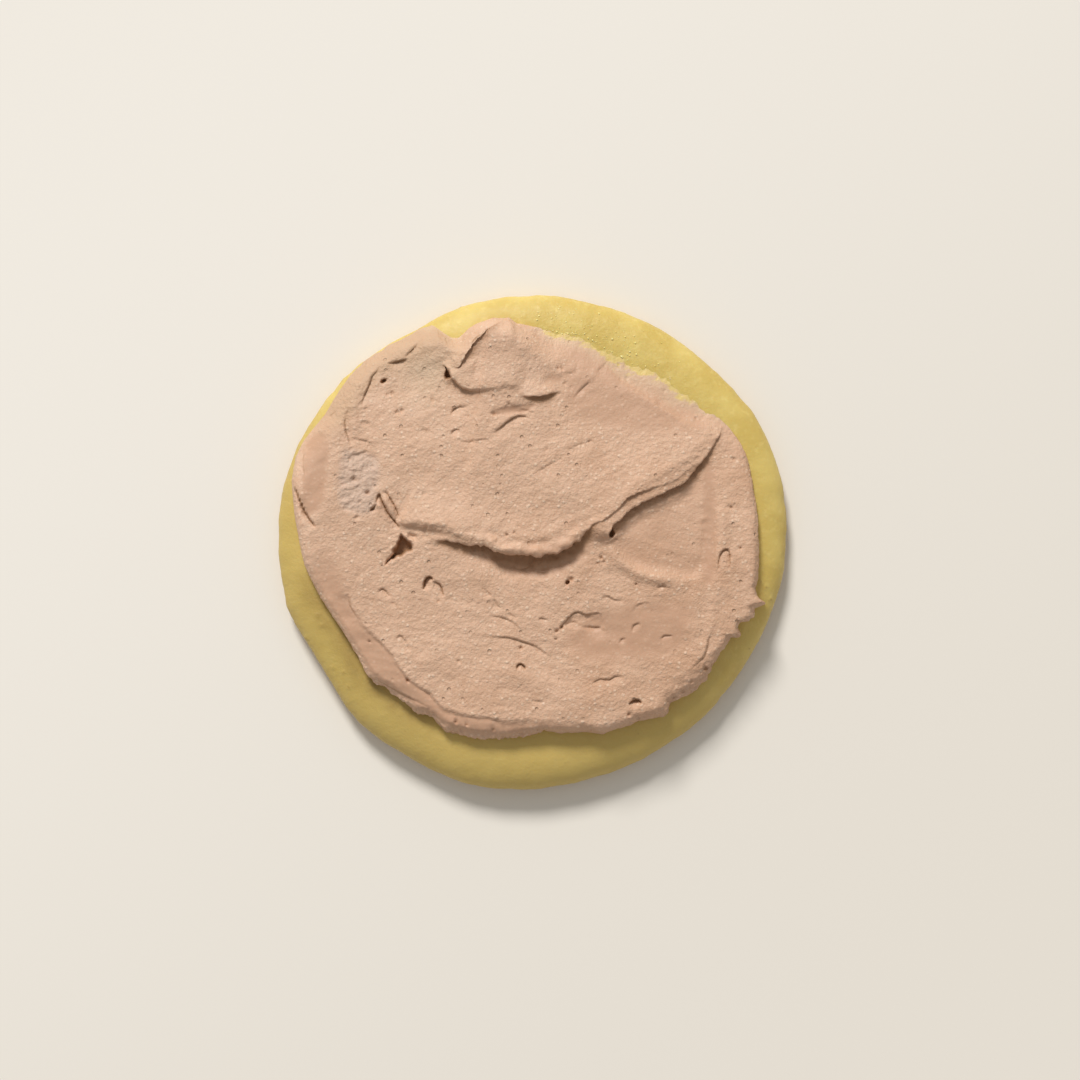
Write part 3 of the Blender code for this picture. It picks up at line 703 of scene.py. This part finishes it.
def makeIcing():
    bm = makeDisc(icing["cells"])
    x, y, _, _, up, _, _ = flatPlaces(places(bm))
    rough = patchShare(crumbly["shape"], crumbly["soft"], x, y)
    refine(bm, fineZone(x, y, up, 1.3, 0.2, 0.6) | (rough > 0.3))
    x, y, _, _, up, _, _ = flatPlaces(places(bm))
    refine(bm, fineZone(x, y, np.zeros(x.shape), 0.4, 0.6, 0.0))
    print("icing sheet:", len(bm.faces), "cells")

    disc = places(bm)
    x, y, angle, reach, up, turn, under = flatPlaces(disc)
    inset = reach - np.hypot(x, y)
    smooth = np.zeros(x.shape)
    for _, soft, smoothness, *shape in patches:
        smooth = np.maximum(smooth, smoothness * patchShare(shape, soft, x, y))
    coat, paintedShade = coatHeight(x, y, smooth)
    bandRise, bandSmooth, bandCrease = bandHeight(x, y, inset, angle)
    coat = coat + bandRise
    # painted shade along the band's crease
    paintedShade = paintedShade + bandCrease
    smooth = np.maximum(smooth, 0.85 * bandSmooth)
    shiftX, shiftY, edges = np.zeros(x.shape), np.zeros(x.shape), np.zeros(x.shape)
    for fold in folds:
        rise, moveX, moveY, strength, paintedShadow = foldMark(fold, x, y)
        # the folds' painted shadows add to the painted shade
        paintedShade = paintedShade + paintedShadow
        coat, shiftX, shiftY = coat + rise, shiftX + moveX, shiftY + moveY
        edges = np.maximum(edges, strength)
    coat -= micropits(x, y, np.maximum(smooth, 0.2))

    wedge, torn = wallAt(angle, 3), wallAt(angle, 4)
    coat = np.maximum(coat, 0.5)
    belly = np.minimum(0.36 * coat, 1.2) * (1 - wedge)
    bulge = np.cos(turn) ** blend(0.75, 1.3, torn)
    inward = 1 - np.sin(turn)
    thin = 0.4 * inward + 0.6 * ease(0, 1, inward)  # a wedge that leaves the coat smoothly
    top = blend(bulge, thin, wedge)
    sink = icing["sink"]
    height = (coat - belly) * top + (belly + sink) * (1 - np.sin(under)) - sink
    height = np.where(up > 0, height, coat)
    # the scraped film runs out in streaks, where it dips below the dough
    film = wedge * ease(0.15, 0.6, up) * (1 - ease(0.8, 1, up))
    height += film * (0.16 * lumps(x, y, 1.5, 61, 2.6, 62) + 0.07 * lumps(x, y, 0.7, 62) - 0.13)
    # the coat stays level over the dough's rounded edge, and its foot comes down to the dough
    base = doughHeight(x, y)
    base = blend(base, flatTop + doughUneven(x, y), np.where(up > 0, top, 1))
    points = np.stack([x + shiftX, y + shiftY, base + height], axis=1)
    putBack(bm, points)

    # wrinkles and grain of the crust, rougher on torn walls and along folded edges
    wrinkles = 1 - 2 * np.abs(lumps(x, y, 1.3, 71, 1.5, 25)) + 0.9 * lumps(x, y, 0.85, 72)
    wallShare = np.where(up > 0, np.sin(turn) ** 2, 0) * (1 - wedge)
    # the wall's own roughness runs in layers along the edge
    ragged = lumps(angle * reach, 4.5 * up, 1.15, 73, 2.4) + 0.6 * lumps(
        angle * reach, 4.5 * up, 0.6, 74, 1.5
    )
    grain = lumps(x, y, 0.62, 75)
    amount = 0.04 * wrinkles * (1 - 0.8 * smooth) * (1 - 0.7 * wallShare)
    amount += 0.03 * grain * (1 - 0.85 * smooth)
    # painted shade in the deep tears of the wall
    paintedShade = paintedShade + torn * wallShare * np.clip(-0.45 - 1.2 * ragged, 0, 0.5)
    amount += 0.55 * torn * wallShare * ragged * (1 - ease(0.94, 1, up)) * (1 - 0.4 * smooth)
    amount += 0.13 * edges * lumps(x, y, 1.1, 76)
    amount *= 1 - 0.7 * film
    pushOut(bm, amount)

    # the underside, in rings that follow the dough
    rim = [e for e in bm.edges if e.is_boundary]
    topCount = len(bm.verts)
    for share in (0.975, 0.9):
        made = bmesh.ops.extrude_edge_only(bm, edges=rim)["geom"]
        ring = [item for item in made if isinstance(item, bmesh.types.BMVert)]
        at = np.array([v.co[:2] for v in ring])
        ringAngle = np.arctan2(at[:, 1], at[:, 0])
        radius = share * icingRadius(ringAngle, 2)
        rx, ry = radius * np.cos(ringAngle), radius * np.sin(ringAngle)
        for v, px, py, pz in zip(ring, rx, ry, doughHeight(rx, ry) - sink - 0.1):
            v.co = (px, py, pz)
        inRing = set(ring)
        rim = [e for e in made if isinstance(e, bmesh.types.BMEdge) and set(e.verts) <= inRing]
    bmesh.ops.contextual_create(bm, geom=rim)

    for v in bm.verts:
        scale = 1 - (v.co.z - 0.5 * doughTop) * icing["draw"]
        v.co.x, v.co.y = v.co.x * scale, v.co.y * scale
    extra = np.zeros(len(bm.verts) - topCount)
    degrees = np.degrees(angle) % 360
    rim = ease(106, 116, degrees) * (1 - ease(146, 156, degrees)) * (1 - ease(2.5, 6, inset))
    tint = 0.7 * bell(x, y, (-18.8, 31), 3.8)  # the dough shows through a little
    rough = patchShare(crumbly["shape"], crumbly["soft"], x, y)
    marks = {
        "rim": rim, "tint": tint, "crumbly": rough, "paintedShade": np.clip(paintedShade, 0, 1.5), "smooth": smooth,
        "thickness": height + 3 * (1 - wedge),  # only the wedges count as thin
    }
    return finish("icing_coat", bm, {key: np.append(values, extra) for key, values in marks.items()})


def doughProfile():
    # (radius, height) from the middle of the underside, out and round to the middle of the top
    outer = 0.5 * (doughBox[1][0] - doughBox[0][0])
    flat, widest = flatTop, flatTop - dough["edgeDrop"]
    foot, step = dough["footWidth"], dough["finest"]
    points = [(0.0, 0.0)]
    points += [(r, 0.0) for r in np.linspace(6, outer - foot, 14)]
    for turn in np.linspace(0, np.pi / 2, 11)[1:]:
        points.append((outer - foot * (1 - math.sin(turn)), widest * (1 - math.cos(turn))))
    for turn in np.linspace(0, np.pi / 2, 24)[1:]:
        inset = dough["edgeWidth"] * (1 - math.cos(turn))
        points.append((outer - inset, flat - float(edgeFall(inset))))
    count = int((dough["shown"] - dough["edgeWidth"]) / step)
    points += [(outer - r, flat) for r in np.linspace(dough["edgeWidth"], dough["shown"], count)[1:]]
    points += [(r, flat) for r in (20.0, 14.0, 8.0, 0.0)]
    return points


def makeDough():
    bm = bmesh.new()
    profile = [bm.verts.new((r, 0, z)) for r, z in doughProfile()]
    lines = [bm.edges.new(pair) for pair in zip(profile, profile[1:])]
    bmesh.ops.spin(
        bm, geom=profile + lines, cent=(0, 0, 0), axis=(0, 0, 1), angle=2 * math.pi,
        steps=dough["steps"], use_merge=True,
    )
    bmesh.ops.remove_doubles(bm, verts=bm.verts, dist=0.0005)
    points = places(bm)
    outer = 0.5 * (doughBox[1][0] - doughBox[0][0])
    angle = np.arctan2(points[:, 1], points[:, 0])
    radius = np.hypot(points[:, 0], points[:, 1])
    reach = doughRadius(angle)
    # the shape near the edge keeps its width, and the rest is stretched to meet it
    inset = outer - radius
    radius = np.where(inset < 10, reach - inset, radius * (reach - 10) / (outer - 10))
    x, y, z = radius * np.cos(angle), radius * np.sin(angle), points[:, 2]
    widest = flatTop - dough["edgeDrop"]
    upper = np.clip((z - widest) / dough["edgeDrop"], 0, 1)
    z = z + doughUneven(x, y) * upper
    putBack(bm, np.stack([x, y, z], axis=1))

    # faint waves on the side, a fine skin, and scattered pores
    around = angle * 44
    side = ease(0.2, 1.4, z) * (1 - upper)
    amount = 0.16 * side * lumps(around, z, 3.2, 81, 1.6) + 0.05 * side * lumps(around, z, 1.2, 82)
    skin = 0.018 * lumps(x, y, 1.0, 83) + 0.012 * lumps(x, y, 0.7, 84)
    amount += skin * np.where(z > 0.2, 1, 0)
    rng = np.random.default_rng(4)
    pores = np.zeros(x.shape)
    for _ in range(dough["pores"]):
        a, deep, r = rng.uniform(0, 2 * np.pi), rng.uniform(0.4, 13), rng.uniform(0.14, 0.34)
        away = float(doughRadius(np.array([a]))[0]) - deep
        px, py = away * math.cos(a), away * math.sin(a)
        close = (np.abs(x - px) < 1.5 * r) & (np.abs(y - py) < 1.5 * r) & (z > widest)
        pores[close] += rng.uniform(0.3, 1) * (
            1 - ease(0.2, 1.2, np.hypot(x[close] - px, y[close] - py) / r)
        )
    for px, py in dough["specks"]:
        close = (np.hypot(x - px, y - py) < 0.7) & (z > widest)
        pores[close] += 1.6 * (1 - ease(0.12, 0.5, np.hypot(x[close] - px, y[close] - py)))
    amount -= 0.12 * np.minimum(pores, 2)
    amount[z < 0.01] = 0
    pushOut(bm, amount)
    under = 1 - ease(0.5, 2.2, z)
    # painted shadow of the icing on the dough beside it, at the lower left
    away = np.hypot(x, y) - icingRadius(angle, 2)
    degrees = np.degrees(angle) % 360
    icingShadow = ease(182, 198, degrees) * (1 - ease(232, 250, degrees)) * np.exp(-((away / 3.0) ** 2))
    icingShadow = 0.8 * icingShadow * (0.8 + 0.3 * lumps(x, y, 2.5, 85))
    return finish("dough_round", bm, {"pore": np.clip(pores, 0, 2), "under": under, "icingShadow": icingShadow})


# Grains of sugar baked into the bare top, near the upper edge.
sugar = {
    "count": 200, "smallest": 0.1, "largest": 0.2, "from": 48.0, "middle": 80.0, "to": 96.0, "seed": 21
}


def makeSugar():
    rng = np.random.default_rng(sugar["seed"])
    bm = bmesh.new()
    for _ in range(sugar["count"]):
        angle = math.radians(rng.triangular(sugar["from"], sugar["middle"], sugar["to"]))
        reach = float(doughRadius(np.array([angle]))[0])
        inner = float(icingRadius(np.array([angle]))[0])
        radius = blend(inner - 0.8, reach - 1.6, rng.uniform() ** 3)
        x, y = radius * math.cos(angle), radius * math.sin(angle)
        z = float(doughHeight(np.array([x]), np.array([y]))[0])
        size = rng.uniform(sugar["smallest"], sugar["largest"]) * (0.5 + rng.uniform() ** 2)
        made = bmesh.ops.create_cube(bm, size=1)["verts"]
        bmesh.ops.scale(bm, verts=made, vec=Vector(rng.uniform(0.7, 1.3, 3)) * size)
        turn = Matrix.Rotation(rng.uniform(0, 6.28), 3, "Z") @ Matrix.Rotation(rng.uniform(0, 6.28), 3, "X")
        bmesh.ops.rotate(bm, verts=made, matrix=turn)
        bmesh.ops.translate(bm, verts=made, vec=(x, y, z + 0.05 * size))
    bmesh.ops.bevel(
        bm, geom=bm.edges, offset=0.02, offset_type="OFFSET", affect="EDGES",
        segments=1, profile=0.5, material=-1,
    )
    return finish("sugar_grains", bm)


class Value:
    # wraps a socket, so that sums of values add their Math nodes
    def __init__(self, surface, socket):
        self.surface, self.socket = surface, socket

    def maths(self, operation, *values):
        return self.surface.add("ShaderNodeMath", {"operation": operation}, dict(enumerate(values)))

    def __add__(self, other):
        return self.maths("ADD", self, other)

    def __sub__(self, other):
        return self.maths("SUBTRACT", self, other)

    def __rsub__(self, other):
        return self.maths("SUBTRACT", other, self)

    def __mul__(self, other):
        return self.maths("MULTIPLY", self, other)

    __radd__ = __add__
    __rmul__ = __mul__

    def other(self, output):
        # another output of the same node
        return Value(self.surface, self.socket.node.outputs[output])

    def clip(self, low, high):
        # 0 at low, 1 at high
        return self.surface.add(
            "ShaderNodeMapRange", {"interpolation_type": "SMOOTHSTEP"},
            {"Value": self, "From Min": low, "From Max": high},
        )


class Surface:
    # a material with one Principled shader, and the method that adds any other node
    def __init__(self, name, **fixed):
        self.material = bpy.data.materials.new(name)
        self.material.use_nodes = True
        self.nodes, self.links = self.material.node_tree.nodes, self.material.node_tree.links
        self.shader = self.nodes["Principled BSDF"]
        for key, value in fixed.items():
            self.shader.inputs[key.replace("_", " ")].default_value = value

    def add(self, kind, settings=None, inputs=None, output=0):
        node = self.nodes.new(kind)
        for key, value in (settings or {}).items():
            setattr(node, key, value)
        self.fill(node, inputs or {})
        return Value(self, node.outputs[output])

    def fill(self, node, inputs):
        for key, value in inputs.items():
            if isinstance(value, Value):
                self.links.new(value.socket, node.inputs[key])
            else:
                node.inputs[key].default_value = value

    def drive(self, **inputs):
        self.fill(self.shader, {key.replace("_", " "): value for key, value in inputs.items()})

    def place(self, size, turn=0.0):
        # Object coordinates in millimetres, divided by size
        spot = self.add("ShaderNodeTexCoord", output="Object")
        scale = [1 / (mm * s) for s in size]
        return self.add(
            "ShaderNodeMapping", None, {
                "Vector": spot, "Scale": scale, "Rotation": (0, 0, math.radians(turn))
            },
        )

    def noise(self, size, detail=2.0, rough=0.5, stretch=1.0, turn=0.0):
        spot = self.place((size * stretch, size, size), turn)
        return self.add(
            "ShaderNodeTexNoise", None, {
                "Vector": spot, "Scale": 1.0, "Detail": detail, "Roughness": rough
            },
        )

    def grains(self, size):
        # distance from the nearest of scattered points, in shares of size; its Color is random by point
        spot = self.place((size, size, size))
        return self.add(
            "ShaderNodeTexVoronoi", {"voronoi_dimensions": "3D"}, {"Vector": spot, "Scale": 1.0}
        )

    def attribute(self, name):
        return self.add("ShaderNodeAttribute", {"attribute_name": name}, output="Fac")

    def mix(self, share, first, second):
        def colour(value):
            return value if isinstance(value, Value) else (*value, 1)
        return self.add(
            "ShaderNodeMix", {"data_type": "RGBA"},
            {0: share, 6: colour(first), 7: colour(second)}, output=2,
        )

    def bump(self, height, distance):
        relief = self.add("ShaderNodeBump", None, {"Height": height, "Distance": distance, "Strength": 1.0})
        self.drive(Normal=relief)


def icingFinish():
    colours = {
        "pale": (0.73, 0.505, 0.36),
        "usual": (0.632, 0.402, 0.266),
        "deep": (0.55, 0.325, 0.2),
        "worked": (0.498, 0.286, 0.176),
        "rim": (0.54, 0.35, 0.215),
        "tint": (0.545, 0.395, 0.26),
        "dry": (0.575, 0.42, 0.325),
        "grainAndGlint": (0.86, 0.66, 0.49),
        "shade": (0.29, 0.138, 0.056),
        "veil": (0.70, 0.52, 0.335),
        "film": (0.69, 0.515, 0.165),
    }
    s = Surface(
        "crusted_icing", Subsurface_Weight=0.08, Subsurface_Radius=(1.0, 0.55, 0.35),
        Subsurface_Scale=0.0008, Specular_IOR_Level=0.35,
    )
    smooth, paintedShade, thickness = s.attribute("smooth"), s.attribute("paintedShade"), s.attribute("thickness")
    rough = 1 - smooth * 0.85
    across = s.add("ShaderNodeSeparateXYZ", None, {0: s.place((10, 10, 10))})
    upward = across.other("Y")
    # random tone, and lighter towards the upper left: partly the crust's own paler tone, partly a painted
    # falloff of the light
    lightness = (s.noise(8, 3) - 0.5) * 0.9 - across * 0.045 + upward * 0.03 + 0.42
    colour = s.mix(lightness.clip(0.0, 0.5), colours["deep"], colours["usual"])
    colour = s.mix(lightness.clip(0.5, 1.0), colour, colours["pale"])
    colour = s.mix(smooth * 0.8, colour, colours["worked"])
    mottle = s.noise(1.3, 3, 0.6)
    colour = s.mix((1 - mottle.clip(0.3, 0.5)) * 0.35 * rough, colour, colours["deep"])
    # pale grains of the crust, lightened further as a painted glint
    grains = s.grains(0.8)
    grainAndGlint = grains.clip(0.5, 0.1) * grains.other("Color").clip(0.3, 0.95)
    colour = s.mix(grainAndGlint * rough * 0.5, colour, colours["grainAndGlint"])
    # small dents in the crust, with painted shade in them
    dents = s.grains(1.7)
    dent = dents.clip(0.24, 0.10) * dents.other("Color").clip(0.66, 0.8)
    colour = s.mix(dent * rough * 0.2, colour, colours["shade"])
    colour = s.mix(s.attribute("tint"), colour, colours["tint"])
    colour = s.mix(s.attribute("crumbly") * 0.6, colour, colours["dry"])
    colour = s.mix(s.attribute("rim") * 0.8, colour, colours["rim"])
    # painted shade in hollows, cuts, pits and in front of folds
    colour = s.mix(paintedShade.clip(0.1, 1.1) * 0.85, colour, colours["shade"])
    streaks = (s.noise(1.4, 3, 0.6, 2.6, 62) - 0.5) * 1.8 + (s.noise(0.6, 2) - 0.5) * 0.5
    colour = s.mix((thickness + streaks * 0.6).clip(1.3, 0.2) * 0.45, colour, colours["veil"])
    colour = s.mix((thickness + streaks).clip(0.4, 0.0) * 0.85, colour, colours["film"])
    s.drive(Base_Color=colour, Roughness=0.5 + s.noise(0.8, 2) * 0.2 - smooth * 0.1)
    relief = s.noise(0.6, 2, 0.6) * rough * 1.2 + grainAndGlint * rough * 0.4 - dent * rough
    s.bump(relief, 0.0002)
    return s.material


def doughFinish():
    colours = {
        "usual": (0.68, 0.512, 0.152),
        "pale": (0.80, 0.63, 0.24),
        "deep": (0.60, 0.43, 0.11),
        "pore": (0.40, 0.26, 0.07),
        "baked": (0.56, 0.33, 0.10),
        "paintedSideShade": (0.555, 0.395, 0.116),
        "icingShadow": (0.31, 0.195, 0.052),
    }
    s = Surface(
        "pale_dough", Subsurface_Weight=0.2, Subsurface_Radius=(1.0, 0.7, 0.3), Subsurface_Scale=0.0018,
        Specular_IOR_Level=0.4,
    )
    wide = s.noise(7, 3)
    fine = s.noise(1.3, 3, 0.55)
    colour = s.mix(wide.clip(0.35, 0.7), colours["deep"], colours["usual"])
    colour = s.mix(fine.clip(0.5, 0.8) * 0.4, colour, colours["pale"])
    colour = s.mix((1 - fine.clip(0.25, 0.45)) * 0.25, colour, colours["deep"])
    across = s.add("ShaderNodeSeparateXYZ", None, {0: s.place((10, 10, 10))})
    # painted shade: darker towards the bottom and at the left edge
    colour = s.mix((across.other("Y") * -1.0).clip(0.3, 3.6) * 0.85, colour, colours["paintedSideShade"])
    colour = s.mix((across * -1.0).clip(3.2, 4.4) * 0.8, colour, colours["paintedSideShade"])
    # painted shadow of the icing beside its lower left edge
    colour = s.mix(s.attribute("icingShadow"), colour, colours["icingShadow"])
    browning = s.attribute("under") * (0.55 + 0.5 * s.noise(4, 4))
    colour = s.mix(browning, colour, colours["baked"])
    # darker in the pores, a painted shade, and at the specks, dark bits of the dough's own
    colour = s.mix(s.attribute("pore").clip(0.6, 1.8) * 0.7, colour, colours["pore"])
    s.drive(Base_Color=colour, Roughness=0.42 + s.noise(1.5, 2) * 0.25)
    s.bump(s.noise(0.5, 3, 0.55), 0.00008)
    return s.material


def sugarFinish():
    s = Surface(
        "sugar", Roughness=0.22, Subsurface_Weight=0.3, Subsurface_Radius=(1, 0.9, 0.6),
        Subsurface_Scale=0.0006,
    )
    s.drive(Base_Color=s.mix(s.noise(0.6, 2).clip(0.3, 0.7), (0.86, 0.70, 0.22), (0.94, 0.82, 0.36)))
    return s.material


def addPiece(piece, material, stands=()):
    piece.data.materials.append(material)
    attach(piece, "root")
    if stands:
        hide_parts(*stands)
    print(piece.name, "has", len(piece.data.polygons), "faces")


addPiece(makeDough(), doughFinish(), ["biscuit"])
addPiece(makeIcing(), icingFinish(), ["icing"])
addPiece(makeSugar(), sugarFinish())


studio = {
    "floor": 6.0,  # metres across
    "sunFrom": 107.0,  # degrees round from +X
    "sunHeight": 38.0,  # degrees above the floor
    "sunSoftness": 15.0,  # degrees across
    "sunShare": 0.585,  # of the light on the floor
    "skyShare": 0.425,
    "lens": 85.0,
    "sensor": 36.0,
    "wide": 0.19096,  # metres across the view
    "aim": (0.00135, 0.00045),
    "level": 0.004,  # the height at which that width holds
}


def addFloor():
    bm = bmesh.new()
    bmesh.ops.create_grid(bm, x_segments=4, y_segments=4, size=0.5 * studio["floor"] / mm)
    floor = finish("floor", bm)
    s = Surface("pale_floor", Roughness=0.75, Specular_IOR_Level=0.2)
    across = s.add("ShaderNodeSeparateXYZ", None, {0: s.place((100, 100, 100))})
    # painted falloff of the light: the floor is lighter towards the top and the left
    share = across.other("Y") - across * 0.7
    s.drive(Base_Color=s.mix(share.clip(-1.4, 1.4), (0.77, 0.715, 0.63), (0.865, 0.815, 0.735)))
    floor.data.materials.append(s.material)


def addLight():
    sun = bpy.data.lights.new("sun", "SUN")
    height = math.radians(studio["sunHeight"])
    sun.energy = studio["sunShare"] * math.pi / math.sin(height)
    sun.angle = math.radians(studio["sunSoftness"])
    lamp = bpy.data.objects.new("sun", sun)
    lamp.rotation_euler = (0, math.pi / 2 - height, math.radians(studio["sunFrom"]))
    bpy.context.scene.collection.objects.link(lamp)
    world = bpy.data.worlds.new("sky")
    world.use_nodes = True
    world.node_tree.nodes["Background"].inputs["Color"].default_value = (1, 1, 1, 1)
    world.node_tree.nodes["Background"].inputs["Strength"].default_value = studio["skyShare"]
    bpy.context.scene.world = world


def addCamera():
    lens = bpy.data.cameras.new("camera")
    lens.lens, lens.sensor_width = studio["lens"], studio["sensor"]
    camera = bpy.data.objects.new("camera", lens)
    away = studio["wide"] * studio["lens"] / studio["sensor"]
    camera.location = (*studio["aim"], studio["level"] + away)
    bpy.context.scene.collection.objects.link(camera)
    bpy.context.scene.camera = camera
    bpy.context.scene.view_settings.view_transform = "Standard"


addFloor()
addLight()
addCamera()
print("floor, light and camera are in place")
